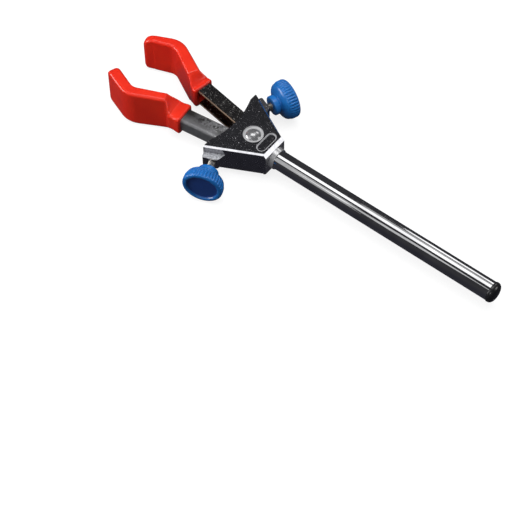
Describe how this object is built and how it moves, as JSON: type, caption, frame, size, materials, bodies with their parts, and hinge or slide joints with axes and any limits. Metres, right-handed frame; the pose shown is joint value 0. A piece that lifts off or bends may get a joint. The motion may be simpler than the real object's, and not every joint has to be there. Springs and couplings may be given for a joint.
{
  "type": "two-prong extension clamp",
  "caption": "Laboratory extension clamp: two pivoting jaws with dipped grips, each set by its own thumbscrew, in a tapered metal housing on a long round rod with a plastic end plug",
  "frame": {"origin": "On the rod's axis, where the rod leaves the housing's neck.", "axes": "+X runs along the rod to its free end, +Z is the housing's top face with the sunk pill, and +Y is the side of the far arm. The jaws point along -X."},
  "size_m": [0.2748, 0.0956, 0.0274],
  "materials": {
    "housing_plate": "bright plated casting",
    "rod_plate": "bright plated tube",
    "plug_plastic": "glossy black",
    "rivet_steel": "bright plated",
    "spring_steel": "drawn wire",
    "arm_plate": "bright plated sheet",
    "grip_vinyl": "glossy dipped vinyl",
    "stud_steel": "plated thread",
    "knob_plastic": "glossy moulded"
  },
  "bodies": {
    "frame": {"housing": "housing_plate", "rod": "rod_plate", "rod_end_plug": "plug_plastic", "pivot_rivet": "rivet_steel", "torsion_spring": "spring_steel"},
    "near_jaw": {"near_arm": "arm_plate", "near_grip": "grip_vinyl"},
    "far_jaw": {"far_arm": "arm_plate", "far_grip": "grip_vinyl"},
    "near_screw": {"near_stud": "stud_steel"},
    "near_thumb_knob": {"near_knob": "knob_plastic"},
    "far_screw": {"far_stud": "stud_steel"},
    "far_thumb_knob": {"far_knob": "knob_plastic"}
  },
  "joints": [
    {"name": "near_screw_slide", "type": "slide", "parent": "frame", "child": "near_screw", "axis": [0.3584, -0.9336, 0], "range_m": [-0.00133, 0.00569]},
    {"name": "near_knob_spin", "type": "hinge", "parent": "near_screw", "child": "near_thumb_knob", "pos_m": [-0.03421, -0.01555, 0], "axis": [0.3584, -0.9336, 0], "range_deg": [-598, 2561]},
    {"name": "near_jaw_hinge", "type": "hinge", "parent": "frame", "child": "near_jaw", "pos_m": [-0.0195, 0, 0], "axis": [0, 0, 1], "range_deg": [-4.2, 18], "deforming": ["torsion_spring"]},
    {"name": "far_screw_slide", "type": "slide", "parent": "frame", "child": "far_screw", "axis": [0.3584, 0.9336, 0], "range_m": [-0.00189, 0.00502]},
    {"name": "far_knob_spin", "type": "hinge", "parent": "far_screw", "child": "far_thumb_knob", "pos_m": [-0.03447, 0.01486, 0], "axis": [0.3584, 0.9336, 0], "range_deg": [-849, 2260]},
    {"name": "far_jaw_hinge", "type": "hinge", "parent": "frame", "child": "far_jaw", "pos_m": [-0.0195, 0, 0], "axis": [0, 0, -1], "range_deg": [-5.9, 15.7]}
  ],
  "couplings": [
    {"joint": "near_knob_spin", "follows": "near_screw_slide", "rad_per_m": 7854},
    {"joint": "near_jaw_hinge", "follows": "near_screw_slide", "rad_per_m": 55.217},
    {"joint": "far_knob_spin", "follows": "far_screw_slide", "rad_per_m": 7854},
    {"joint": "far_jaw_hinge", "follows": "far_screw_slide", "rad_per_m": 54.579}
  ]
}
